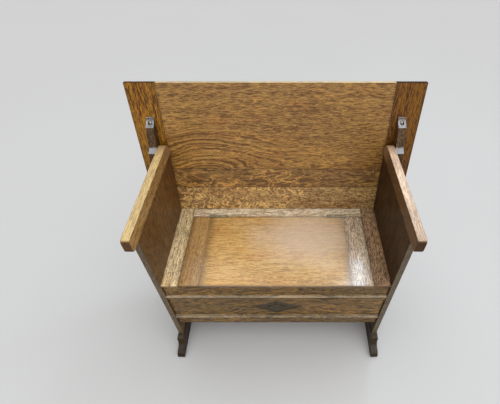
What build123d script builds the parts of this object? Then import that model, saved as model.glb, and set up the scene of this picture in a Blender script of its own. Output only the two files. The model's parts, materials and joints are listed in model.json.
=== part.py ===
"""Oak monk's bench: a box-seated settle whose back is a table top that tilts and slides down onto the arms.

Millimetres. +X is to the sitter's left (the viewer's right), +Y is the back, +Z is up.
The origin is on the floor, under the middle of the bench's overall length and depth.
"""

import os
from math import cos, radians, sin, sqrt, tan

from build123d import *

# ---- driving dimensions -------------------------------------------------------------------------
LEAN = 10.5  # the back's lean from upright, degrees

TOP_LENGTH = 990
TOP_WIDTH = 610
TOP_THICK = 16
TOP_BELOW_SEAT = 107  # how far the top's lower edge lies below the seat, along the slope
TOP_JOINTS = (103.9, 185.7)  # the planks' two joints, measured up the slope from the seat
BREADBOARD = 102
TONGUE = 8
TONGUE_THICK = 6
TONGUE_SHORT = 8  # how far a tongue stops short of its plank's edges
TOP_ROUND = 2

SEAT_HEIGHT = 446
SEAT_THICK = 16
SEAT_FRONT = -200
SEAT_LIP = 10  # thickness of the seat boards' front lip, which laps the apron
SEAT_EASE = 3
BACK_AT_SEAT = 165  # where the leaning face crosses the seat's height
BACK_CLEAR = 1  # air between the leaning face and the edges in front of it

INSIDE_HALF = 393  # half the clear width between the end panels
PANEL_THICK = 20
PANEL_FRONT = -200
PANEL_TENON = 10  # thickness of the tongues on the end panels
TENON_DEPTH = 12
ARM_TENON = (-190, 150)  # front and rear of the tongue into the arm
FOOT_TENON = (-190, 130)

ARM_TOP = 744
ARM_DEEP = 50
ARM_WIDE = 28
ARM_FRONT = -242
ARM_NOSE = (15, 8)  # radii of the nose, top and bottom
ARM_ROUND = 36  # radius of the rear end, about the pivot
ARM_EASE = 4

FOOT_WIDE = 28
FOOT_HIGH = 70
TOE_HIGH = 28
TOE_ROUND = 18
TOE_FLAT = 4
FOOT_COVE = 26
FOOT_NOSE = 10
FOOT_REAR = 240

APRON_FACE = -192
APRON_THICK = 18
APRON_BOTTOM = 156
HOUSING = 6  # how far the apron and the back board enter the end panels
HOUSING_WIDE = 9
NOSE_PROUD = 8  # how far the mouldings' noses stand out of the apron's face
NOSE_HIGH = 2
HOLLOWS = ((385, 368, 26), (222, 214, 9))  # top, bottom and radius of each moulding's hollow
BEAD_PROUD = 5
BEADS = ((354, 348), (228, 224))
LOZENGE_Z = 286
LOZENGE = (97, 48)  # half length and half height
INNER_LOZENGE = (36, 20)
LOZENGE_HOLLOW = 0.43  # 0.5 would make its sides straight
CARVED = 2

BOX_BACK = (127, 143)
BOX_FLOOR = (168, 180)
BATTEN = 20

STRIP_WIDE = 57
RAIL_FRONT = 120
LID_GAP = 1
LID_CLEAT = 74
REBATE_AIR = 2  # air between the apron's back and the lid's rebate
LID_TONGUE_SHORT = 10

HINGE_X = (-235, 235)
HINGE_LONG = 76
HINGE_AXIS = (119.5, 448)  # y and z of both hinge pins
KNUCKLE_R = 4.5
HINGE_PIN_R = 2
LEAF_THICK = 1.4
LEAF_DEEP = 12
KNUCKLES = 5
KNUCKLE_GAP = 0.4
KNUCKLE_AIR = 0.5
LEAF_AIR = 0.1  # each leaf's distance from the hinge's middle plane

PEG_R = 8
PEG_IN_ARM = 22
RUNNING = 0.05  # a peg's radial clearance in the arm
SLOT_HALF = 8.5
SLOT_DEEP = 15
SLIDE = 264
FOLDED_GAP = 0.5  # air under the top when it lies on the arms

BEARER_WIDE = 27
BEARER_DEEP = 60
BEARER_GAP = 2  # air between an arm and its bearer
# a bearer's outline, as distances out of the top's underside and up the slope from the seat
BEARER_TOP = (6, 388)
# each step's cove's end and radius, and its nose's end
BEARER_STEPS = (((24, 364), 45, (30, 357)), ((55, 281), 24, (BEARER_DEEP, 275)))
BEARER_SHOULDER = (40, 304)
BEARER_HEEL = -14
BEARER_HEEL_R = 14
BEARER_UNDER = (22, -28)
BEARER_FOOT = (6, -50)
BEARER_FOOT_R = 20
STEP_NOSE = 6

SCREW_R = 2
SCREW_LONG = 19
SCREW_HEAD_R = 5
SCREW_HEAD_HIGH = 3.5
SCREW_HEAD_DOME = 2.5
SCREW_HEAD_AT = 9  # height of a screw's head above the top's underside
SCREW_SEAT_R = 7
SCREW_SKIN = 4  # wood left over a screw's point
SCREW_AIR = 0.05
SCREW_AT = (372, -39.5)  # up the slope from the seat

SIDES = (("left", -1), ("right", 1))

# ---- worked out ---------------------------------------------------------------------------------
rise, run = cos(radians(LEAN)), sin(radians(LEAN))
slope = tan(radians(LEAN))

top_up = TOP_WIDTH - TOP_BELOW_SEAT
# the top's rear upper corner, rounded, is the rearmost point of the bench
rear_extreme = BACK_AT_SEAT + top_up * run + TOP_THICK * rise - TOP_ROUND * (rise + run) + TOP_ROUND
TOE_FRONT = -rear_extreme

pivot_z = ARM_TOP - ARM_ROUND
pivot_to_top = ARM_ROUND + FOLDED_GAP
pivot_y = BACK_AT_SEAT + (pivot_z - SEAT_HEIGHT) * slope - pivot_to_top / rise
pivot_up = (pivot_y - BACK_AT_SEAT) * run + (pivot_z - SEAT_HEIGHT) * rise

panel_mid = INSIDE_HALF + PANEL_THICK / 2
arm_outside = panel_mid + ARM_WIDE / 2
bearer_inside = arm_outside + BEARER_GAP
bearer_mid = bearer_inside + BEARER_WIDE / 2
arm_bottom = ARM_TOP - ARM_DEEP
seat_low = SEAT_HEIGHT - SEAT_THICK
apron_top = SEAT_HEIGHT - SEAT_LIP
apron_back = APRON_FACE + APRON_THICK


def back_limit(z):
    """The furthest back an edge at height z may reach without touching the leaning top."""
    return BACK_AT_SEAT + (z - SEAT_HEIGHT) * slope - BACK_CLEAR / rise


# the leaning face: x along the bench, y up the slope, z out of the face towards the sitter
face = Plane(origin=(0, BACK_AT_SEAT, SEAT_HEIGHT), x_dir=(1, 0, 0), z_dir=(0, -rise, run))
out_of_top = Axis(origin=(0, BACK_AT_SEAT, SEAT_HEIGHT), direction=(0, -rise, run))

os.makedirs("parts", exist_ok=True)


def keep(part, name):
    """Labels a finished piece and writes its STEP file."""
    part.label = name
    export_step(part, f"parts/{name}.step")


def side_view(x):
    """A sketch plane across the bench at x, with y towards the back and z up."""
    return Plane.YZ.offset(x)


# ---- end panels, arms and feet ------------------------------------------------------------------
knee_z = SEAT_HEIGHT - TOP_BELOW_SEAT * rise
panel_rear = back_limit(knee_z)
tenons = ((ARM_TENON, arm_bottom + TENON_DEPTH / 2), (FOOT_TENON, FOOT_HIGH - TENON_DEPTH / 2))

for name, side in SIDES:
    inner_face = side * INSIDE_HALF

    with BuildPart() as panel:
        with BuildSketch(side_view(side * panel_mid)):
            Polygon(
                (PANEL_FRONT, FOOT_HIGH),
                (panel_rear, FOOT_HIGH),
                (panel_rear, knee_z),
                (back_limit(arm_bottom), arm_bottom),
                (PANEL_FRONT, arm_bottom),
                align=None,
            )
        extrude(amount=PANEL_THICK / 2, both=True)
        with BuildSketch(side_view(side * panel_mid)):
            for (front, rear), middle_z in tenons:
                with Locations(((front + rear) / 2, middle_z)):
                    Rectangle(rear - front, TENON_DEPTH)
        extrude(amount=PANEL_TENON / 2, both=True)
        with BuildSketch(side_view(inner_face)):
            for (front, rear), top in (((APRON_FACE, apron_back), apron_top), (BOX_BACK, seat_low)):
                with Locations(((front + rear) / 2, (APRON_BOTTOM + top) / 2)):
                    Rectangle(HOUSING_WIDE, top - APRON_BOTTOM)
        extrude(amount=side * HOUSING, mode=Mode.SUBTRACT)
    keep(panel.part, f"{name}_end_panel")

    with BuildPart() as arm:
        with BuildSketch(side_view(side * panel_mid)):
            with BuildLine():
                nose_top, nose_bottom = ARM_NOSE
                heel_y = pivot_y + sqrt(ARM_ROUND**2 - (pivot_z - arm_bottom) ** 2)
                nose_start = (ARM_FRONT + nose_bottom, arm_bottom)
                Line((heel_y, arm_bottom), nose_start)
                RadiusArc(nose_start, (ARM_FRONT, arm_bottom + nose_bottom), nose_bottom)
                Line((ARM_FRONT, arm_bottom + nose_bottom), (ARM_FRONT, ARM_TOP - nose_top))
                RadiusArc((ARM_FRONT, ARM_TOP - nose_top), (ARM_FRONT + nose_top, ARM_TOP), nose_top)
                Line((ARM_FRONT + nose_top, ARM_TOP), (pivot_y, ARM_TOP))
                ThreePointArc((pivot_y, ARM_TOP), (pivot_y + ARM_ROUND, pivot_z), (heel_y, arm_bottom))
            make_face()
        extrude(amount=ARM_WIDE / 2, both=True)
        fillet(arm.edges().filter_by(Axis.Y).group_by(Axis.Z)[-1], radius=ARM_EASE)
        with BuildSketch(side_view(side * panel_mid)):
            with Locations((sum(ARM_TENON) / 2, arm_bottom + TENON_DEPTH / 2)):
                Rectangle(ARM_TENON[1] - ARM_TENON[0], TENON_DEPTH)
        extrude(amount=PANEL_TENON / 2, both=True, mode=Mode.SUBTRACT)
        with BuildSketch(side_view(side * arm_outside)):
            with Locations((pivot_y, pivot_z)):
                Circle(PEG_R + RUNNING)
        extrude(amount=-side * PEG_IN_ARM, mode=Mode.SUBTRACT)
    keep(arm.part, f"{name}_arm")

    with BuildPart() as foot:
        with BuildSketch(side_view(side * panel_mid)):
            with BuildLine():
                for end, away in ((TOE_FRONT, -1), (FOOT_REAR, 1)):
                    toe_back = end - away * (TOE_ROUND + TOE_FLAT)
                    cove_back = toe_back - away * FOOT_COVE
                    nose_low = FOOT_HIGH - FOOT_NOSE
                    Line((0, 0), (end, 0))
                    Line((end, 0), (end, TOE_HIGH - TOE_ROUND))
                    RadiusArc(
                        (end, TOE_HIGH - TOE_ROUND), (end - away * TOE_ROUND, TOE_HIGH), -away * TOE_ROUND
                    )
                    Line((end - away * TOE_ROUND, TOE_HIGH), (toe_back, TOE_HIGH))
                    RadiusArc((toe_back, TOE_HIGH), (cove_back, TOE_HIGH + FOOT_COVE), away * FOOT_COVE)
                    Line((cove_back, TOE_HIGH + FOOT_COVE), (cove_back, nose_low))
                    nose_back = cove_back - away * FOOT_NOSE
                    RadiusArc((cove_back, nose_low), (nose_back, FOOT_HIGH), -away * FOOT_NOSE)
                    Line((nose_back, FOOT_HIGH), (0, FOOT_HIGH))
            make_face()
        extrude(amount=FOOT_WIDE / 2, both=True)
        with BuildSketch(side_view(side * panel_mid)):
            with Locations((sum(FOOT_TENON) / 2, FOOT_HIGH - TENON_DEPTH / 2)):
                Rectangle(FOOT_TENON[1] - FOOT_TENON[0], TENON_DEPTH)
        extrude(amount=PANEL_TENON / 2, both=True, mode=Mode.SUBTRACT)
    keep(foot.part, f"{name}_foot")

# ---- seat box -----------------------------------------------------------------------------------

def lozenge(half_long, half_high):
    """A lozenge with hollow sides."""
    with BuildSketch() as shape:
        with BuildLine():
            tips = ((half_long, 0), (0, half_high), (-half_long, 0), (0, -half_high), (half_long, 0))
            for start, end in zip(tips, tips[1:]):
                middle = (LOZENGE_HOLLOW * (start[0] + end[0]), LOZENGE_HOLLOW * (start[1] + end[1]))
                ThreePointArc(start, middle, end)
        make_face()
    return shape.sketch


with BuildPart() as apron:
    with BuildSketch(side_view(-INSIDE_HALF)):
        with Locations(((APRON_FACE + apron_back) / 2, (APRON_BOTTOM + apron_top) / 2)):
            Rectangle(APRON_THICK, apron_top - APRON_BOTTOM)
        for bead_top, bead_bottom in BEADS:
            with Locations((APRON_FACE - BEAD_PROUD / 2, (bead_top + bead_bottom) / 2)):
                Rectangle(BEAD_PROUD, bead_top - bead_bottom)
        for hollow_top, hollow_bottom, radius in HOLLOWS:
            nose_y = APRON_FACE - NOSE_PROUD
            with BuildLine():
                RadiusArc((APRON_FACE, hollow_top), (nose_y, hollow_bottom), radius)
                Line((nose_y, hollow_bottom), (nose_y, hollow_bottom - NOSE_HIGH))
                Line((nose_y, hollow_bottom - NOSE_HIGH), (APRON_FACE, hollow_bottom - 2 * NOSE_HIGH))
                Line((APRON_FACE, hollow_bottom - 2 * NOSE_HIGH), (APRON_FACE, hollow_top))
            make_face()
    extrude(amount=2 * INSIDE_HALF)
    with BuildSketch(side_view(0)):
        with Locations(((APRON_FACE + apron_back) / 2, (APRON_BOTTOM + apron_top) / 2)):
            Rectangle(HOUSING_WIDE, apron_top - APRON_BOTTOM)
    extrude(amount=INSIDE_HALF + HOUSING, both=True)
    apron_face = Plane(origin=(0, APRON_FACE, LOZENGE_Z), x_dir=(1, 0, 0), z_dir=(0, -1, 0))
    with BuildSketch(apron_face):
        add(lozenge(*LOZENGE))
    extrude(amount=-CARVED, mode=Mode.SUBTRACT)
    with BuildSketch(apron_face.offset(-CARVED)):
        add(lozenge(*INNER_LOZENGE))
    extrude(amount=CARVED)
keep(apron.part, "front_apron")

back_front, back_rear = BOX_BACK
with BuildPart() as box_back:
    with BuildSketch(Plane.XY.offset(APRON_BOTTOM)):
        with Locations((0, (back_front + back_rear) / 2)):
            Rectangle(2 * INSIDE_HALF, back_rear - back_front)
            Rectangle(2 * (INSIDE_HALF + HOUSING), HOUSING_WIDE)
    extrude(amount=seat_low - APRON_BOTTOM)
keep(box_back.part, "box_back_board")

floor_low, floor_high = BOX_FLOOR
with BuildPart() as box_floor:
    with BuildSketch(Plane.XY.offset(floor_low)):
        with Locations((0, (apron_back + back_front) / 2)):
            Rectangle(2 * INSIDE_HALF, back_front - apron_back)
    extrude(amount=floor_high - floor_low)
keep(box_floor.part, "box_bottom_board")

for name, side in SIDES:
    with BuildPart() as batten:
        with BuildSketch(Plane.XY.offset(APRON_BOTTOM)):
            with Locations((side * (INSIDE_HALF - BATTEN / 2), (apron_back + back_front) / 2)):
                Rectangle(BATTEN, back_front - apron_back)
        extrude(amount=floor_low - APRON_BOTTOM)
    keep(batten.part, f"{name}_bottom_batten")

# ---- seat ---------------------------------------------------------------------------------------
lid_half = INSIDE_HALF - STRIP_WIDE - LID_GAP
lid_rear = RAIL_FRONT - LID_GAP
rebate_back = apron_back + REBATE_AIR
axis_y, axis_z = HINGE_AXIS


def ease_front(part):
    """Rounds the front edges of a seat board."""
    fillet(part.edges().filter_by(Axis.X).group_by(Axis.Y)[0], radius=SEAT_EASE)


# the rebate under the seat boards' front lip, which sits on the apron
with BuildPart() as rebate:
    with BuildSketch(Plane.XY.offset(seat_low)):
        with Locations((0, (SEAT_FRONT + rebate_back) / 2)):
            Rectangle(2 * INSIDE_HALF, rebate_back - SEAT_FRONT)
    extrude(amount=apron_top - seat_low)

# the tongues along the lid's ends, which also shape the slots in its cleats
with BuildPart() as lid_tongue:
    tongue_front = rebate_back + LID_TONGUE_SHORT
    tongue_rear = lid_rear - LID_TONGUE_SHORT
    with BuildSketch(Plane.XY.offset(SEAT_HEIGHT - SEAT_THICK / 2)):
        with Locations((0, (tongue_front + tongue_rear) / 2)):
            Rectangle(2 * (lid_half - LID_CLEAT + TONGUE), tongue_rear - tongue_front)
    extrude(amount=TONGUE_THICK / 2, both=True)

fixed_leaf = (axis_y + LEAF_AIR, axis_y + LEAF_AIR + LEAF_THICK)
moving_leaf = (axis_y - LEAF_AIR - LEAF_THICK, axis_y - LEAF_AIR)
leaf_low = axis_z - KNUCKLE_R - LEAF_DEEP

# what the hinges need cut out of the seat boards: room for the knuckles, and each leaf's housing
hinge_rooms = {}
for name, from_y, to_y in (("rail", lid_rear, fixed_leaf[1]), ("lid", moving_leaf[0], RAIL_FRONT)):
    with BuildPart() as room:
        for middle in HINGE_X:
            with BuildSketch(side_view(middle)):
                with Locations(HINGE_AXIS):
                    Circle(KNUCKLE_R + KNUCKLE_AIR)
            extrude(amount=HINGE_LONG / 2 + KNUCKLE_AIR, both=True)
            with BuildSketch(Plane.XY.offset(leaf_low)):
                with Locations((middle, (from_y + to_y) / 2)):
                    Rectangle(HINGE_LONG, to_y - from_y)
            extrude(amount=axis_z - leaf_low)
    hinge_rooms[name] = room.part

for name, side in SIDES:
    with BuildPart() as strip:
        with BuildSketch(side_view(side * (INSIDE_HALF - STRIP_WIDE / 2))):
            Polygon(
                (SEAT_FRONT, seat_low),
                (back_limit(seat_low), seat_low),
                (back_limit(SEAT_HEIGHT), SEAT_HEIGHT),
                (SEAT_FRONT, SEAT_HEIGHT),
                align=None,
            )
        extrude(amount=STRIP_WIDE / 2, both=True)
        add(rebate.part, mode=Mode.SUBTRACT)
        ease_front(strip)
    keep(strip.part, f"{name}_seat_strip")

with BuildPart() as rail:
    with BuildSketch(side_view(0)):
        Polygon(
            (RAIL_FRONT, seat_low),
            (back_limit(seat_low), seat_low),
            (back_limit(SEAT_HEIGHT), SEAT_HEIGHT),
            (RAIL_FRONT, SEAT_HEIGHT),
            align=None,
        )
    extrude(amount=INSIDE_HALF - STRIP_WIDE, both=True)
    add(hinge_rooms["rail"], mode=Mode.SUBTRACT)
keep(rail.part, "seat_rear_rail")

with BuildPart() as lid:
    with BuildSketch(Plane.XY.offset(seat_low)):
        with Locations((0, (SEAT_FRONT + lid_rear) / 2)):
            Rectangle(2 * (lid_half - LID_CLEAT), lid_rear - SEAT_FRONT)
    extrude(amount=SEAT_THICK)
    add(rebate.part, mode=Mode.SUBTRACT)
    ease_front(lid)
    add(lid_tongue.part)
    add(hinge_rooms["lid"], mode=Mode.SUBTRACT)
keep(lid.part, "lid_panel")

for name, side in SIDES:
    with BuildPart() as cleat:
        with BuildSketch(Plane.XY.offset(seat_low)):
            with Locations((side * (lid_half - LID_CLEAT / 2), (SEAT_FRONT + lid_rear) / 2)):
                Rectangle(LID_CLEAT, lid_rear - SEAT_FRONT)
        extrude(amount=SEAT_THICK)
        add(rebate.part, mode=Mode.SUBTRACT)
        ease_front(cleat)
        add(lid_tongue.part, mode=Mode.SUBTRACT)
        add(hinge_rooms["lid"], mode=Mode.SUBTRACT)
    keep(cleat.part, f"lid_{name}_cleat")

# ---- hinges -------------------------------------------------------------------------------------
knuckle_long = HINGE_LONG / KNUCKLES

for (name, _), middle in zip(SIDES, HINGE_X):
    start = middle - HINGE_LONG / 2
    leaves = (("fixed", fixed_leaf, 0), ("lid", moving_leaf, 1))
    for leaf_name, (leaf_front, leaf_rear), first in leaves:
        with BuildPart() as leaf:
            with BuildSketch(Plane.XY.offset(leaf_low)):
                with Locations((middle, (leaf_front + leaf_rear) / 2)):
                    Rectangle(HINGE_LONG, leaf_rear - leaf_front)
            extrude(amount=axis_z - leaf_low)
            for k in range(KNUCKLES):
                own = k % 2 == first
                gap = KNUCKLE_GAP / 2 if own else 0
                with BuildSketch(side_view(start + k * knuckle_long + gap)):
                    with Locations(HINGE_AXIS):
                        Circle(KNUCKLE_R if own else KNUCKLE_R + KNUCKLE_GAP)
                extrude(amount=knuckle_long - 2 * gap, mode=Mode.ADD if own else Mode.SUBTRACT)
            with BuildSketch(side_view(start)):
                with Locations(HINGE_AXIS):
                    Circle(HINGE_PIN_R + RUNNING)
            extrude(amount=HINGE_LONG, mode=Mode.SUBTRACT)
        keep(leaf.part, f"{name}_hinge_{leaf_name}_leaf")

    with BuildPart() as hinge_pin:
        with BuildSketch(side_view(start)):
            with Locations(HINGE_AXIS):
                Circle(HINGE_PIN_R)
        extrude(amount=HINGE_LONG)
    keep(hinge_pin.part, f"{name}_hinge_pin")

# ---- table top ----------------------------------------------------------------------------------
plank_half = TOP_LENGTH / 2 - BREADBOARD
low_joint, high_joint = TOP_JOINTS
PLANKS = (
    ("lower", -TOP_BELOW_SEAT, low_joint),
    ("middle", low_joint, high_joint),
    ("upper", high_joint, top_up),
)
middle_plane = face.offset(-TOP_THICK / 2)
outer_edges = (-TOP_BELOW_SEAT, top_up)

for name, bottom, top in PLANKS:
    with BuildPart() as plank:
        with BuildSketch(face.offset(-TOP_THICK)):
            with Locations((0, (bottom + top) / 2)):
                Rectangle(2 * plank_half, top - bottom)
        extrude(amount=TOP_THICK)
        rim = plank.edges().filter_by(Axis.X).sort_by(Axis.Z)
        if bottom in outer_edges:
            fillet(rim[:2], radius=TOP_ROUND)
        if top in outer_edges:
            fillet(rim[-2:], radius=TOP_ROUND)
        with BuildSketch(middle_plane):
            with Locations((0, (bottom + top) / 2)):
                Rectangle(2 * (plank_half + TONGUE), top - bottom - 2 * TONGUE_SHORT)
        extrude(amount=TONGUE_THICK / 2, both=True)
    keep(plank.part, f"top_{name}_plank")

for name, side in SIDES:
    with BuildPart() as breadboard:
        with BuildSketch(face.offset(-TOP_THICK)):
            with Locations((side * (plank_half + BREADBOARD / 2), (top_up - TOP_BELOW_SEAT) / 2)):
                Rectangle(BREADBOARD, TOP_WIDTH)
        extrude(amount=TOP_THICK)
        fillet(breadboard.edges().filter_by(Axis.X), radius=TOP_ROUND)
        with BuildSketch(middle_plane):
            for _, bottom, top in PLANKS:
                with Locations((0, (bottom + top) / 2)):
                    Rectangle(2 * (plank_half + TONGUE), top - bottom - 2 * TONGUE_SHORT)
        extrude(amount=TONGUE_THICK / 2, both=True, mode=Mode.SUBTRACT)
        for up in SCREW_AT:
            with BuildSketch(face):
                with Locations((side * bearer_mid, up)):
                    Circle(SCREW_R + SCREW_AIR)
            extrude(amount=SCREW_SKIN - TOP_THICK, mode=Mode.SUBTRACT)
    keep(breadboard.part, f"top_{name}_breadboard")

# ---- bearers, their screws and the pivot pegs ---------------------------------------------------
for name, side in SIDES:
    profile = Plane(
        origin=(side * bearer_mid, BACK_AT_SEAT, SEAT_HEIGHT), x_dir=(0, -rise, run), z_dir=(-1, 0, 0)
    )
    with BuildPart() as bearer:
        with BuildSketch(profile):
            with BuildLine():
                foot_low = BEARER_FOOT[1]
                Line((0, foot_low), (0, BEARER_TOP[1]))
                Line((0, BEARER_TOP[1]), BEARER_TOP)
                cove_tops = (BEARER_TOP, BEARER_SHOULDER)
                for cove_top, (cove_end, radius, nose_end) in zip(cove_tops, BEARER_STEPS):
                    RadiusArc(cove_top, cove_end, -radius)
                    RadiusArc(cove_end, nose_end, STEP_NOSE)
                Line(BEARER_STEPS[0][2], BEARER_SHOULDER)
                Line((BEARER_DEEP, BEARER_STEPS[1][2][1]), (BEARER_DEEP, BEARER_HEEL))
                heel_end = (BEARER_DEEP - BEARER_HEEL_R, BEARER_HEEL - BEARER_HEEL_R)
                RadiusArc((BEARER_DEEP, BEARER_HEEL), heel_end, -BEARER_HEEL_R)
                Line(heel_end, BEARER_UNDER)
                RadiusArc(BEARER_UNDER, BEARER_FOOT, -BEARER_FOOT_R)
                Line(BEARER_FOOT, (0, foot_low))
            make_face()
        extrude(amount=BEARER_WIDE / 2, both=True)
        groove = Plane(
            origin=(side * bearer_inside, BACK_AT_SEAT, SEAT_HEIGHT), x_dir=(0, -rise, run), z_dir=(-1, 0, 0)
        )
        with BuildSketch(groove):
            with Locations((pivot_to_top, pivot_up - SLIDE / 2)):
                SlotCenterToCenter(SLIDE, 2 * SLOT_HALF, rotation=90)
        extrude(amount=-side * SLOT_DEEP, mode=Mode.SUBTRACT)
        for up in SCREW_AT:
            with BuildSketch(face):
                with Locations((side * bearer_mid, up)):
                    Circle(SCREW_R + SCREW_AIR)
            extrude(amount=BEARER_DEEP, mode=Mode.SUBTRACT)
            with BuildSketch(face.offset(SCREW_HEAD_AT - SCREW_AIR)):
                with Locations((side * bearer_mid, up)):
                    Circle(SCREW_SEAT_R)
            extrude(amount=BEARER_DEEP, mode=Mode.SUBTRACT)
    keep(bearer.part, f"{name}_bearer")

    with BuildPart() as screws:
        with BuildSketch(face.offset(SCREW_HEAD_AT)):
            for up in SCREW_AT:
                with Locations((side * bearer_mid, up)):
                    Circle(SCREW_HEAD_R)
        extrude(amount=SCREW_HEAD_HIGH)
        fillet(screws.edges().filter_by(GeomType.CIRCLE).group_by(out_of_top)[-1], radius=SCREW_HEAD_DOME)
        with BuildSketch(face.offset(SCREW_HEAD_AT)):
            for up in SCREW_AT:
                with Locations((side * bearer_mid, up)):
                    Circle(SCREW_R)
        extrude(amount=-SCREW_LONG)
    keep(screws.part, f"{name}_bearer_screws")

    with BuildPart() as peg:
        with BuildSketch(side_view(side * (arm_outside - PEG_IN_ARM))):
            with Locations((pivot_y, pivot_z)):
                Circle(PEG_R)
        extrude(amount=side * (PEG_IN_ARM + BEARER_GAP + SLOT_DEEP - 0.5))
        chamfer(peg.edges().filter_by(GeomType.CIRCLE), length=1)
    keep(peg.part, f"{name}_pivot_peg")

print("pivot y, z:", round(pivot_y, 3), round(pivot_z, 3), " depth:", round(2 * rear_extreme, 3))
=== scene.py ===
"""The looks of an oak monk's bench: stained, varnished and worn oak with painted light and shade,
old brass and steel.
"""

import json
from math import radians

import bpy
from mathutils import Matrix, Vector

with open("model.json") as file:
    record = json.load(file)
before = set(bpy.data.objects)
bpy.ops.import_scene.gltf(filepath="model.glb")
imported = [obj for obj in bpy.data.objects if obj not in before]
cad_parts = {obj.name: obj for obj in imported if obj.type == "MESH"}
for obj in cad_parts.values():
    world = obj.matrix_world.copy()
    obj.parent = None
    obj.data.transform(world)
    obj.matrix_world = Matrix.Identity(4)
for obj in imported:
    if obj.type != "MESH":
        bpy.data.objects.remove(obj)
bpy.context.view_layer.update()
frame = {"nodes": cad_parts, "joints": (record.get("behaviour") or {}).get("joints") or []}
nodes = frame["nodes"]
joints = {joint["name"]: joint for joint in frame["joints"]}

X, Y, Z = Vector((1, 0, 0)), Vector((0, 1, 0)), Vector((0, 0, 1))
UP_SLOPE = -Vector(joints["top_slide"]["axis"]).normalized()  # up the leaning top, in its plane
OUT_OF_TOP = X.cross(UP_SLOPE)  # out of the top's underside, towards the sitter
OUT_OF_STEPS = (UP_SLOPE + 0.4 * OUT_OF_TOP).normalized()  # what the bearers' steps face
TOWARDS_FRONT = (Z - 0.4 * Y).normalized()  # what the upper sides of the apron's beads face


# ---- node trees ---------------------------------------------------------------------------------
class Graph:
    """A material's node tree, with a short method for each kind of node the looks use."""

    def __init__(self, name):
        self.material = bpy.data.materials.new(name)
        self.material.use_nodes = True
        self.tree = self.material.node_tree
        self.tree.nodes.clear()
        coordinates = self.add("ShaderNodeTexCoord")
        self.place = coordinates.outputs["Object"]
        self.normal = coordinates.outputs["Normal"]

    def add(self, kind, settings=None, inputs=None):
        """A new node; an input is given as a socket to link or as a plain value."""
        node = self.tree.nodes.new(kind)
        for key, value in (settings or {}).items():
            setattr(node, key, value)
        for key, value in (inputs or {}).items():
            if isinstance(value, bpy.types.NodeSocket):
                self.tree.links.new(value, node.inputs[key])
            else:
                node.inputs[key].default_value = value
        return node

    def math(self, operation, a, b=0.0, c=0.0, clamp=False):
        settings = {"operation": operation, "use_clamp": clamp}
        return self.add("ShaderNodeMath", settings, {0: a, 1: b, 2: c}).outputs[0]

    def centred(self, value):
        """A value of 0 to 1 moved to -0.5 to 0.5."""
        return self.math("SUBTRACT", value, 0.5)

    def vector(self, operation, a, b=(0, 0, 0)):
        node = self.add("ShaderNodeVectorMath", {"operation": operation}, {0: a, 1: b})
        return node.outputs["Value" if operation in ("DOT_PRODUCT", "LENGTH") else "Vector"]

    def along(self, direction, origin=0.0):
        """Distance along a direction, in metres, from an origin given along it."""
        distance = self.vector("DOT_PRODUCT", self.place, tuple(direction))
        return self.math("SUBTRACT", distance, origin) if origin else distance

    def facing(self, direction):
        """1 where the surface faces a direction, 0 where it faces well away."""
        return self.ramp(self.vector("DOT_PRODUCT", self.normal, tuple(direction)), 0.6, 0.9)

    def join(self, x, y, z):
        return self.add("ShaderNodeCombineXYZ", None, {0: x, 1: y, 2: z}).outputs[0]

    def noise(self, vector, scale=1.0, detail=2.0, roughness=0.5, distortion=0.0):
        inputs = {
            "Vector": vector,
            "Scale": scale,
            "Detail": detail,
            "Roughness": roughness,
            "Distortion": distortion,
        }
        return self.add("ShaderNodeTexNoise", None, inputs).outputs["Fac"]

    def ramp(self, value, low, high, to_low=0.0, to_high=1.0):
        """value mapped smoothly from low..high to to_low..to_high, and held there beyond."""
        settings = {"interpolation_type": "SMOOTHSTEP"}
        inputs = {0: value, 1: low, 2: high, 3: to_low, 4: to_high}
        return self.add("ShaderNodeMapRange", settings, inputs).outputs[0]

    def tones(self, value, *stops):
        """A colour ramp through (position, (r, g, b)) stops."""
        node = self.add("ShaderNodeValToRGB", None, {0: value})
        elements = node.color_ramp.elements
        while len(elements) < len(stops):
            elements.new(0.5)
        for element, (position, colour) in zip(elements, stops):
            element.position = position
            element.color = (*colour, 1)
        return node.outputs["Color"]

    def mix(self, share, a, b, blend="MIX"):
        """Colour a with a share of colour b in it."""
        settings = {"data_type": "RGBA", "blend_type": blend}
        node = self.add("ShaderNodeMix", settings, {0: share, 6: colour4(a), 7: colour4(b)})
        return node.outputs[2]

    def bump(self, height, distance, strength):
        inputs = {"Height": height, "Distance": distance, "Strength": strength}
        return self.add("ShaderNodeBump", None, inputs).outputs[0]

    def finish(self, **inputs):
        """The material, from the inputs of its shader."""
        named = {key.replace("_", " "): value for key, value in inputs.items()}
        shader = self.add("ShaderNodeBsdfPrincipled", None, named)
        output = self.add("ShaderNodeOutputMaterial")
        self.tree.links.new(shader.outputs[0], output.inputs[0])
        return self.material


def colour4(value):
    """A plain colour gets an alpha; a socket passes through."""
    return (*value, 1) if isinstance(value, tuple) else value


def times(values, factor):
    """A plain colour, or any other tuple, with each of its numbers times a factor."""
    return tuple(factor * value for value in values)


def edge_band(g, direction, low, high, width):
    """1 at two limits along a direction, falling to 0 within width of them."""
    middle, half = (low + high) / 2, (high - low) / 2
    from_middle = g.math("ABSOLUTE", g.along(direction, middle))
    return g.ramp(from_middle, half - width, half)


# ---- oak ----------------------------------------------------------------------------------------
# the scales of the oak's noises, per metre: along the grain, then across it
SWAY = (4, 10)  # the slow wander of the rings and the fibre
RIPPLE = (16, 40)  # the fibre's quicker wavering
DASHES = (30, 390)  # the fibre's longer dashes
FINE = (75, 620)  # its shorter ones
STREAKS = (9, 130)
CLOUDS = (4, 9)  # wide paler and darker places
FLECKS = (120, 85)  # short medullary rays
PATCHES = (7, 16)  # where the stain took redder or yellower
PORES = (60, 700)
POLISH = (11, 22)  # where the varnish is duller

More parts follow.
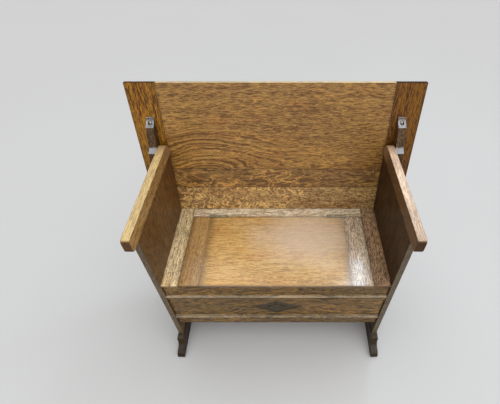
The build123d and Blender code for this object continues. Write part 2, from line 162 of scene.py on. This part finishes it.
SEED_STEPS = (3.1, 1.7, 0.9)  # metres from one seed's part of the noises to the next
RING_PITCH = 0.012  # about the width of a growth ring on the surface, in metres
RING_SWAY = 0.048  # how far the rings wander, in metres
FIBRE_SWAY = 0.0084  # how far the fibre wanders, in metres
FIBRE_RIPPLE = 0.003  # how far it wavers, in metres
ARCH_SWAY = 0.15  # how far the legs of a crown's arches wander, in metres
ARCH_HIGH = 2.5  # the arches have faded out at this many times their rise
ARCH_RINGS = 0.85  # what the arches add to the strength of the rings
ARCH_DASHES = 0.5  # the share of the dashes' strength that they take away
DASHES_TO_FIBRE, FINE_TO_FIBRE, STREAKS_TO_FIBRE = 4.3, 2.6, 1.1  # strengths, per unit of fibre
GOLDEN = (1.55, 1.42, 1.15)  # how much brighter than the light tone a long ray is
REDDER, YELLOWER = (1.0, 0.86, 0.66), (0.94, 0.98, 0.82)
PATCHINESS = 0.5  # how strongly the patches differ
BUMP = 0.0005  # the depth of the grain's relief, in metres
BUMP_STRENGTH = 0.3


def long_rays(g, colour, field, where, strength, dark, light):
    """Adds long medullary rays: golden strokes on a darker ground, along the middle of a field."""
    from_line = g.math("ABSOLUTE", g.centred(field))
    ground = g.math("MULTIPLY", g.ramp(from_line, 0.05, 0.12), where)
    colour = g.mix(g.math("MULTIPLY", ground, strength * 0.55), colour, dark)
    stroke = g.math("MULTIPLY", g.ramp(from_line, 0.008, 0.036, 1.0, 0.0), where)
    golden = tuple(min(1.0, channel * gain) for channel, gain in zip(light, GOLDEN))
    return g.mix(g.math("MULTIPLY", stroke, strength), colour, golden)


def uneven_stain(g, colour, patches):
    """Makes the colour redder in some patches and yellower in others."""
    redder = g.ramp(patches, 0.50, 0.68, 0.0, PATCHINESS)
    colour = g.mix(redder, colour, REDDER, "MULTIPLY")
    yellower = g.ramp(patches, 0.32, 0.50, PATCHINESS, 0.0)
    return g.mix(yellower, colour, YELLOWER, "MULTIPLY")


def oak(name, grain, across, tones, *, seed, crown=None, ring=0.22, fibre=1.0, fineness=1.3,
        broad=0.45, fleck=0.0, flame=None, pores=0.45, wear_and_painted_light=(), grime_and_shade=(), grime_and_shade_tone=0.5,
        spot=None, roughness=0.36, gloss=0.35, coat=0.1, coat_roughness=0.18):
    """Stained and varnished oak.

    grain and across are unit vectors at rest; tones are its dark, middle and light colours, and
    seed says which part of the noises the board is cut from. ring, fibre, broad, fleck and pores
    are the strengths of the growth rings, the fibre's dashes, the wide clouds, the short
    medullary rays and the open pores. fineness divides the dashes' size. crown, as (place along
    the grain, place across it, reach, rise), bends the rings into arches over one place. flame,
    as (strength, scales), adds long medullary rays. The list of recoloured faces gives the
    direction each faces, how far it went, and the colour there: wear on some faces, painted
    highlights and painted shade on others. The edges that edges() gives are darkened, with a tone
    for the strength: grime and dark joints, and painted shade in corners, between parts and under
    overhangs. spot changes the colour in one place.

    The noises run from 0 to 1 and mostly lie near 0.5, which the limits of the ramps go by.
    """
    g = Graph(name)
    u, v, w = g.along(grain), g.along(across), g.along(grain.cross(across))
    place = g.vector("ADD", g.join(u, v, w), times(SEED_STEPS, seed))

    def stretched(scales, where=place, finer=1.0):
        along, over = scales
        return g.vector("MULTIPLY", where, (along * finer, over * finer, over * finer))

    # growth rings, as the board's surface cuts them
    sway = g.centred(g.noise(stretched(SWAY), detail=3))
    level = g.math("MULTIPLY_ADD", sway, RING_SWAY, g.math("ADD", v, w))
    ring_strength, dash_strength = ring, fibre * DASHES_TO_FIBRE
    if crown:
        centre, foot, reach, rise = crown
        away = g.math("ABSOLUTE", g.along(grain, centre))
        away = g.math("MULTIPLY_ADD", sway, ARCH_SWAY, away)
        above = g.math("SUBTRACT", v, foot)
        within = g.ramp(away, 0.0, reach, 1.0, 0.0)
        near = g.math("MULTIPLY", within, g.ramp(above, 0.0, rise * ARCH_HIGH, 1.0, 0.0))
        level = g.math("MULTIPLY_ADD", near, -rise, level)
        arched = g.ramp(near, 0.0, 0.35)
        ring_strength = g.math("MULTIPLY_ADD", arched, ARCH_RINGS, ring)
        lost = -ARCH_DASHES * dash_strength
        dash_strength = g.math("MULTIPLY_ADD", arched, lost, dash_strength)
    inputs = {"W": level, "Scale": 1 / RING_PITCH, "Detail": 1.0}
    growth = g.add("ShaderNodeTexNoise", {"noise_dimensions": "1D"}, inputs).outputs["Fac"]
    rings = g.ramp(growth, 0.38, 0.62)

    # fibre: wavering dashes of two lengths, and streaks
    ripple = g.centred(g.noise(stretched(RIPPLE), detail=2))
    ripple = g.math("MULTIPLY", ripple, FIBRE_RIPPLE)
    aside = g.math("MULTIPLY_ADD", sway, FIBRE_SWAY, ripple)
    wavy = g.vector("ADD", place, g.join(0.0, aside, 0.0))
    dashes = g.noise(stretched(DASHES, wavy, fineness), detail=1, roughness=0.6)
    fine = g.noise(stretched(FINE, wavy, fineness), detail=1)
    streaks = g.noise(stretched(STREAKS, wavy), detail=2)
    clouds = g.noise(stretched(CLOUDS), detail=3)

    layers = [
        (rings, ring_strength),
        (dashes, dash_strength),
        (fine, fibre * FINE_TO_FIBRE),
        (streaks, fibre * STREAKS_TO_FIBRE),
        (clouds, broad * 2),
    ]
    if fleck:
        flecks = g.noise(stretched(FLECKS, wavy), detail=3, roughness=0.6, distortion=0.5)
        layers.append((g.ramp(flecks, 0.35, 0.65), fleck))
    tone = 0.5
    for layer, strength in layers:
        tone = g.math("MULTIPLY_ADD", g.centred(layer), strength, tone)
    tone = g.math("ADD", tone, 0.0, clamp=True)
    dark, middle, light = tones
    colour = g.tones(tone, (0.08, dark), (0.5, middle), (0.92, light))

    if flame:
        strength, scales = flame
        field = g.noise(stretched(scales, wavy), detail=2, roughness=0.55, distortion=0.8)
        colour = long_rays(g, colour, field, g.ramp(clouds, 0.40, 0.58), strength, dark, light)
    colour = uneven_stain(g, colour, g.noise(stretched(PATCHES), detail=2))

    # end grain drinks more stain, and the varnish with it
    along_grain = g.math("ABSOLUTE", g.vector("DOT_PRODUCT", g.normal, tuple(grain)))
    end_grain = g.ramp(along_grain, 0.6, 0.95, 0.0, 0.9)
    colour = g.mix(end_grain, colour, times(dark, 0.5))

    # open pores, thickest where a ring begins
    pore = g.ramp(g.noise(stretched(PORES, wavy), detail=1), 0.54, 0.68)
    pore = g.math("MULTIPLY", pore, g.ramp(rings, 0.0, 1.0, 1.0, 0.35))
    colour = g.mix(g.math("MULTIPLY", pore, pores), colour, times(dark, 0.45))

    # darkened edges: grime and dark joints, and painted shade in corners, between parts and under
    # overhangs
    for direction, low, high, width in grime_and_shade:
        band = edge_band(g, direction, low, high, width)
        band = g.math("MULTIPLY", band, g.ramp(clouds, 0.25, 0.6, 0.6, 1.0))
        colour = g.mix(g.math("MULTIPLY", band, grime_and_shade_tone), colour, times(dark, 0.5))
    # recoloured faces: wear on some, painted highlights and painted shade on others
    for direction, share, average in wear_and_painted_light:
        face_colour = g.mix(tone, times(average, 0.65), times(average, 1.25))
        face_share = g.ramp(clouds, 0.35, 0.6, share * 0.7, share)
        colour = g.mix(g.math("MULTIPLY", g.facing(direction), face_share), colour, face_colour)
    if spot:
        colour = spot(g, colour)

    polish = g.noise(stretched(POLISH), detail=4, roughness=0.6)
    rough = g.ramp(polish, 0.3, 0.7, roughness - 0.05, roughness + 0.09)
    rough = g.math("ADD", rough, g.math("MULTIPLY", pore, 0.18))
    height = g.math("MULTIPLY_ADD", fine, 0.4, g.math("MULTIPLY", dashes, 0.6))
    height = g.math("SUBTRACT", height, pore)
    varnished = g.math("SUBTRACT", 1.0, end_grain)
    return g.finish(
        Base_Color=colour,
        Roughness=rough,
        Specular_IOR_Level=g.math("MULTIPLY", varnished, gloss),
        Coat_Weight=g.math("MULTIPLY", varnished, coat),
        Coat_Roughness=coat_roughness,
        Normal=g.bump(height, BUMP, BUMP_STRENGTH),
    )


def metal(name, dark, light, roughness):
    """Dull, unevenly tarnished metal."""
    g = Graph(name)
    patches = g.noise(g.place, scale=140, detail=4, roughness=0.65)
    scratches = g.noise(g.vector("MULTIPLY", g.place, (900, 160, 160)), detail=2)
    colour = g.tones(patches, (0.35, dark), (0.65, light))
    rough = g.ramp(patches, 0.3, 0.7, roughness + 0.15, roughness - 0.05)
    normal = g.bump(scratches, 0.0001, 0.4)
    return g.finish(Base_Color=colour, Metallic=0.85, Roughness=rough, Normal=normal)


def span(node, direction):
    """How far a node reaches, low and high, along a direction."""
    places = [direction.dot(vertex.co) for vertex in nodes[node].data.vertices]
    return min(places), max(places)


def edges(node, *reaches):
    """Darkening along a node's edges, from (direction, width) pairs: grime and dark joints, and
    painted shade where parts meet.
    """
    return tuple((direction, *span(node, direction), width) for direction, width in reaches)


# ---- the bench ----------------------------------------------------------------------------------
# each board's dark, middle and light tones
UPPER = ((0.125, 0.049, 0.007), (0.289, 0.136, 0.028), (0.427, 0.234, 0.057))
MIDDLE = ((0.085, 0.034, 0.008), (0.238, 0.117, 0.030), (0.366, 0.205, 0.062))
LOWER = ((0.148, 0.068, 0.020), (0.386, 0.221, 0.080), (0.553, 0.367, 0.154))
BREADBOARD = ((0.089, 0.031, 0.003), (0.249, 0.099, 0.007), (0.421, 0.196, 0.017))
BREADBOARD_RIGHT = ((0.049, 0.017, 0.003), (0.141, 0.050, 0.003), (0.253, 0.102, 0.007))
LID = ((0.300, 0.144, 0.032), (0.557, 0.320, 0.092), (0.707, 0.457, 0.165))
CLEAT = ((0.173, 0.084, 0.024), (0.384, 0.212, 0.068), (0.536, 0.328, 0.123))
# the right cleat's tones are paler and bluer than the left's: its oak with a painted sheen of
# light on its varnish
CLEAT_RIGHT_WITH_PAINTED_SHEEN = ((0.245, 0.162, 0.106), (0.546, 0.399, 0.268), (0.817, 0.651, 0.479))
STRIP = ((0.278, 0.187, 0.096), (0.626, 0.462, 0.246), (0.891, 0.693, 0.409))
STRIP_RIGHT = ((0.086, 0.044, 0.020), (0.305, 0.182, 0.092), (0.533, 0.345, 0.194))
# the rail's pale, greyish tones are partly its oak and partly a painted reflection on its varnish
RAIL_WITH_PAINTED_SHEEN = ((0.308, 0.226, 0.134), (0.698, 0.554, 0.371), (0.923, 0.780, 0.577))
ARM_LEFT = ((0.132, 0.064, 0.018), (0.288, 0.155, 0.048), (0.432, 0.259, 0.090))
# the right arm's tones are a darker copy of the oak: painted shade on its inner face, which faces
# away from the light
ARM_RIGHT_IN_PAINTED_SHADE = ((0.042, 0.016, 0.004), (0.099, 0.040, 0.013), (0.165, 0.072, 0.026))
PANEL_LEFT = ((0.044, 0.018, 0.005), (0.110, 0.048, 0.013), (0.188, 0.091, 0.029))
# the right panel's tones are a darker copy of the oak: painted shade on its inner face, which
# faces away from the light
PANEL_RIGHT_IN_PAINTED_SHADE = ((0.013, 0.004, 0.002), (0.035, 0.014, 0.004), (0.060, 0.027, 0.008))
APRON = ((0.031, 0.015, 0.003), (0.112, 0.059, 0.011), (0.232, 0.129, 0.031))
DARK = ((0.009, 0.003, 0.002), (0.022, 0.010, 0.002), (0.043, 0.022, 0.007))
BEARER = ((0.030, 0.013, 0.003), (0.081, 0.038, 0.011), (0.145, 0.074, 0.025))
CARCASS = ((0.120, 0.070, 0.030), (0.260, 0.165, 0.080), (0.380, 0.255, 0.140))

VARNISHED = dict(fineness=1.5, roughness=0.30, gloss=0.5, coat=0.45, coat_roughness=0.14)
UNFINISHED = dict(coat=0.0, roughness=0.55)


def dress(node, material, ease=None):
    """Gives a CAD node its material, and rounds its sharp edges by ease, in modifiers only."""
    piece = nodes[node]
    piece.data.materials.clear()
    piece.data.materials.append(material)
    if ease:
        weld = piece.modifiers.new("Weld", "WELD")
        weld.merge_threshold = 0.00001
        bevel = piece.modifiers.new("Bevel", "BEVEL")
        bevel.width = ease
        bevel.segments = 3
        bevel.limit_method = "ANGLE"
        bevel.angle_limit = radians(32)
        weighted = piece.modifiers.new("Normals", "WEIGHTED_NORMAL")
        weighted.keep_sharp = False


def leaning_top():
    """The three planks and two breadboards that show their underside while the top leans."""
    foot = span("top_upper_plank", UP_SLOPE)[0]
    figures = {
        # the upper plank's up-facing top edge is painted paler: partly wear, partly a painted
        # highlight
        "upper": dict(
            tones=UPPER, crown=(-0.24, foot, 0.30, 0.10), ring=0.12, broad=0.35,
            flame=(0.5, (12, 60)), wear_and_painted_light=((UP_SLOPE, 0.85, (0.68, 0.53, 0.27)),),
        ),
        "middle": dict(tones=MIDDLE, ring=0.12, broad=0.60, flame=(1.0, (16, 34))),
        "lower": dict(
            tones=LOWER, fleck=0.5, ring=0.10, fibre=0.7, broad=0.7, flame=(1.0, (36, 34)),
        ),
    }
    for seed, (name, figure) in enumerate(figures.items(), 1):
        node = f"top_{name}_plank"
        # grime and dark joints along the planks' edges, and painted shade towards their ends,
        # beside the arms
        grime_and_shade = edges(node, (UP_SLOPE, 0.004), (X, 0.02))
        wood = oak(f"{node}_oak", X, UP_SLOPE, seed=seed, grime_and_shade=grime_and_shade, **figure)
        dress(node, wood, ease=0.0008)
    for seed, (side, tones) in enumerate((("left", BREADBOARD), ("right", BREADBOARD_RIGHT)), 4):
        node = f"top_{side}_breadboard"
        grime_and_shade = edges(node, (X, 0.012), (UP_SLOPE, 0.004))
        wood = oak(f"{node}_oak", UP_SLOPE, X, tones, seed=seed, ring=0.3, fibre=1.1, broad=0.6,
                   grime_and_shade=grime_and_shade, gloss=0.2, coat=0.03)
        dress(node, wood, ease=0.0008)


def painted_sheen(g, colour):
    """A pale, milky patch on the seat: a painted sheen of light on its varnish."""
    middle_x, middle_y, half_wide, half_deep = 0.12, 0.025, 0.22, 0.14
    ragged, sheen_colour, strength = 0.8, (0.76, 0.63, 0.51), 0.55
    across = g.math("DIVIDE", g.along(X, middle_x), half_wide)
    back = g.math("DIVIDE", g.along(Y, middle_y), half_deep)
    reach = g.vector("LENGTH", g.join(across, back, 0.0))
    reach = g.math("MULTIPLY_ADD", g.noise(g.place, scale=9, detail=3), ragged, reach)
    return g.mix(g.ramp(reach, 0.6, 1.8, strength, 0.0), colour, sheen_colour)


def seat():
    """The lid, the strips beside it and the rail behind it."""
    # the lid's front face is painted dark as painted shade, its edges are darkened as grime and
    # painted shade, and a pale patch is a painted sheen
    wood = oak("lid_oak", X, Y, LID, seed=7, ring=0.10, fibre=0.5, broad=0.32, pores=0.3,
               grime_and_shade=edges("lid_panel", (X, 0.040), (Y, 0.012)), grime_and_shade_tone=0.75,
               wear_and_painted_light=((-Y, 0.9, (0.06, 0.035, 0.016)),), spot=painted_sheen, **VARNISHED)
    dress("lid_panel", wood, ease=0.0008)
    cleats = (("left", CLEAT, 0.0, 0.5), ("right", CLEAT_RIGHT_WITH_PAINTED_SHEEN, 0.5, 0.9))
    for seed, (side, tones, fleck, fibre) in enumerate(cleats, 8):
        node = f"lid_{side}_cleat"
        wood = oak(f"{node}_oak", Y, X, tones, seed=seed, ring=0.12, fibre=fibre, fleck=fleck,
                   grime_and_shade=edges(node, (X, 0.014), (Y, 0.010)), **VARNISHED)
        dress(node, wood, ease=0.0008)
    for seed, (side, tones) in enumerate((("left", STRIP), ("right", STRIP_RIGHT)), 10):
        node = f"{side}_seat_strip"
        wood = oak(f"{node}_oak", Y, X, tones, seed=seed, fineness=1.4, ring=0.2, fleck=0.4,
                   grime_and_shade=edges(node, (X, 0.008)))
        dress(node, wood, ease=0.0008)
    wood = oak("rail_oak", X, Y, RAIL_WITH_PAINTED_SHEEN, seed=12, ring=0.2, fleck=0.3,
               grime_and_shade=edges("seat_rear_rail", (Y, 0.006)))
    dress("seat_rear_rail", wood, ease=0.0006)


def dark_heel(g, colour):
    """Darker towards the rear end of an arm."""
    rear = span("left_arm", Y)[1]
    heel = g.ramp(g.along(Y, rear), -0.10, -0.02, 0.0, 0.75)
    return g.mix(heel, colour, (0.30, 0.165, 0.085))


def ends():
    """The end panels with their arms, feet, bearers, pegs and battens."""
    looks = (
        # the right end takes darker panel and arm tones as painted shade; the last colour is for
        # the arms' tops, pale partly from wear and partly as a painted highlight
        ("left", PANEL_LEFT, ARM_LEFT, (0.600, 0.430, 0.190)),
        ("right", PANEL_RIGHT_IN_PAINTED_SHADE, ARM_RIGHT_IN_PAINTED_SHADE, (0.760, 0.560, 0.400)),
    )
    for k, (side, panel_tones, arm_tones, pale) in enumerate(looks):
        wood = oak(f"{side}_panel_oak", Z, Y, panel_tones, seed=13 + k, ring=0.3, gloss=0.2,
                   coat=0.02, wear_and_painted_light=((-Y, 0.8, (0.118, 0.090, 0.054)),))
        dress(f"{side}_end_panel", wood, ease=0.0012)
        # the arms' up-facing tops are paler, partly wear and partly a painted highlight; their
        # front faces are painted darker, as painted shade
        wood = oak(f"{side}_arm_oak", Y, X, arm_tones, seed=15 + k, ring=0.15, broad=0.3,
                   fibre=0.8, coat=0.4, coat_roughness=0.12, spot=dark_heel,
                   wear_and_painted_light=((Z, 0.95, pale), (-Y, 0.8, (0.100, 0.050, 0.024))))
        dress(f"{side}_arm", wood, ease=0.0015)
        # the feet's up-facing tops get a painted grey highlight; their front faces are recoloured
        # a dark brown
        wood = oak(f"{side}_foot_oak", Y, Z, DARK, seed=17 + k, gloss=0.1, coat=0.03,
                   wear_and_painted_light=((Z, 0.45, (0.105, 0.094, 0.078)), (-Y, 0.8, (0.060, 0.041, 0.022))))
        dress(f"{side}_foot", wood, ease=0.0020)
        # the faces of the bearers' steps get a painted grey highlight
        wood = oak(f"{side}_bearer_oak", UP_SLOPE, OUT_OF_TOP, BEARER, seed=19 + k, gloss=0.2,
                   wear_and_painted_light=((OUT_OF_STEPS, 0.95, (0.44, 0.45, 0.47)),))
        dress(f"{side}_bearer", wood, ease=0.0020)
        dress(f"{side}_pivot_peg", oak(f"{side}_peg_oak", X, Y, DARK, seed=21 + k))
        wood = oak(f"{side}_batten_oak", Y, X, CARCASS, seed=23 + k, **UNFINISHED)
        dress(f"{side}_bottom_batten", wood, ease=0.0010)


def lozenge_stain_and_lid_shadow(g, colour):
    """The carved lozenge holds more stain; the line under the lid's edge is darkened as a painted
    shadow.
    """
    middle_z, half_long, half_high, sides = 0.286, 0.097, 0.048, 0.86
    from_middle = g.math("DIVIDE", g.math("ABSOLUTE", g.along(X)), half_long)
    height = g.math("DIVIDE", g.math("ABSOLUTE", g.along(Z, middle_z)), half_high)
    outwards = g.math("ADD", g.math("POWER", from_middle, sides), g.math("POWER", height, sides))
    colour = g.mix(g.ramp(outwards, 0.9, 1.15, 0.85, 0.0), colour, (0.024, 0.018, 0.009))
    below_lid = g.along(Z, span("front_apron", Z)[1])
    shade = g.ramp(below_lid, -0.007, -0.003, 0.0, 0.9)
    return g.mix(shade, colour, (0.026, 0.014, 0.006))


def box():
    """The seat box: its apron, back and bottom."""
    # the upper sides of the beads get a painted pale highlight, varied by clouds; the apron is
    # darkened along all its edges: painted shade under the lid and beside the end panels, and
    # darker along its foot
    wood = oak("apron_oak", X, Z, APRON, seed=25, crown=(0.02, 0.23, 0.30, 0.10), ring=0.25,
               flame=(0.9, (14, 60)), fibre=1.6, fineness=1.5, gloss=0.25, grime_and_shade_tone=0.8,
               wear_and_painted_light=((TOWARDS_FRONT, 0.6, (0.40, 0.33, 0.23)),),
               grime_and_shade=edges("front_apron", (X, 0.014), (Z, 0.008)), spot=lozenge_stain_and_lid_shadow)
    dress("front_apron", wood, ease=0.0007)
    dress("box_back_board", oak("box_back_oak", X, Z, CARCASS, seed=26, **UNFINISHED))
    dress("box_bottom_board", oak("box_bottom_oak", X, Y, CARCASS, seed=27, **UNFINISHED))


def metalwork():
    """The two hinges and the screws of the bearers."""
    brass = metal("old_brass", (0.10, 0.10, 0.075), (0.34, 0.31, 0.20), 0.38)
    steel = metal("dull_steel", (0.30, 0.29, 0.28), (0.70, 0.69, 0.68), 0.28)
    for side in ("left", "right"):
        for piece in ("hinge_fixed_leaf", "hinge_lid_leaf", "hinge_pin"):
            dress(f"{side}_{piece}", brass)
        dress(f"{side}_bearer_screws", steel)


leaning_top()
seat()
ends()
box()
metalwork()


# ---- floor, light and camera --------------------------------------------------------------------
def floor():
    """A matt, pale grey floor, barely mottled."""
    g = Graph("studio_floor")
    mottle = g.noise(g.place, scale=1.5, detail=2)
    colour = g.tones(mottle, (0.4, (0.538, 0.538, 0.538)), (0.6, (0.543, 0.543, 0.543)))
    material = g.finish(Base_Color=colour, Roughness=0.9, Specular_IOR_Level=0.1)
    mesh = bpy.data.meshes.new("floor")
    reach = 14
    corners = [(-reach, -reach, 0), (reach, -reach, 0), (reach, reach, 0), (-reach, reach, 0)]
    mesh.from_pydata(corners, [], [(0, 1, 2, 3)])
    mesh.materials.append(material)
    plane = bpy.data.objects.new("floor", mesh)
    bpy.context.scene.collection.objects.link(plane)


def lamp(name, kind, place, target, **settings):
    """A lamp at place that faces target."""
    data = bpy.data.lights.new(name, kind)
    for key, value in settings.items():
        setattr(data, key, value)
    obj = bpy.data.objects.new(name, data)
    obj.location = place
    obj.rotation_euler = (Vector(target) - Vector(place)).to_track_quat("-Z", "Y").to_euler()
    obj.visible_camera = False
    bpy.context.scene.collection.objects.link(obj)


def sky():
    """A pale room: bright walls all round, and a dimmer ceiling."""
    wall_top, ceiling_edge = 0.15, 0.55  # as the sines of their heights in the sky
    wall_light, ceiling_light = 0.70, 0.20
    world = bpy.data.worlds.new("studio")
    world.use_nodes = True
    tree = world.node_tree
    background = tree.nodes["Background"]
    background.inputs["Color"].default_value = (1.0, 1.0, 1.0, 1)
    direction = tree.nodes.new("ShaderNodeTexCoord").outputs["Generated"]
    height = tree.nodes.new("ShaderNodeSeparateXYZ")
    walls = tree.nodes.new("ShaderNodeMapRange")
    walls.interpolation_type = "SMOOTHSTEP"
    for key, value in enumerate((wall_top, ceiling_edge, wall_light, ceiling_light), 1):
        walls.inputs[key].default_value = value
    tree.links.new(direction, height.inputs[0])
    tree.links.new(height.outputs["Z"], walls.inputs[0])
    tree.links.new(walls.outputs[0], background.inputs["Strength"])
    bpy.context.scene.world = world


def lamps():
    """A broad light overhead, a fill from the front, and a cool one that makes the seat gleam."""
    lamp("softbox", "SUN", (0.24, 0.05, 0.95), (0, 0, 0), energy=2.95, angle=radians(100))
    lamp("fill", "AREA", (0, -4.4, 1.7), (0, 0, 0.2), energy=52, shape="RECTANGLE", size=4,
         size_y=2)
    lamp("gleam", "AREA", (0.84, 1.2, 2.6), (0.30, -0.10, 0.45), energy=7, shape="RECTANGLE",
         size=0.2, size_y=0.5, color=(0.72, 0.87, 1.0))


def camera():
    """A wide lens in front of the bench and above it, looking steeply down."""
    data = bpy.data.cameras.new("camera")
    data.sensor_width = 36
    data.lens = 25.13
    data.shift_x = -0.0700
    data.shift_y = 0.0249
    obj = bpy.data.objects.new("camera", data)
    obj.location = (0.0306, -0.8213, 1.4854)
    obj.rotation_euler = (radians(42.5), 0, 0)
    bpy.context.scene.collection.objects.link(obj)
    bpy.context.scene.camera = obj


floor()
sky()
lamps()
camera()
bpy.context.scene.view_settings.view_transform = "Standard"
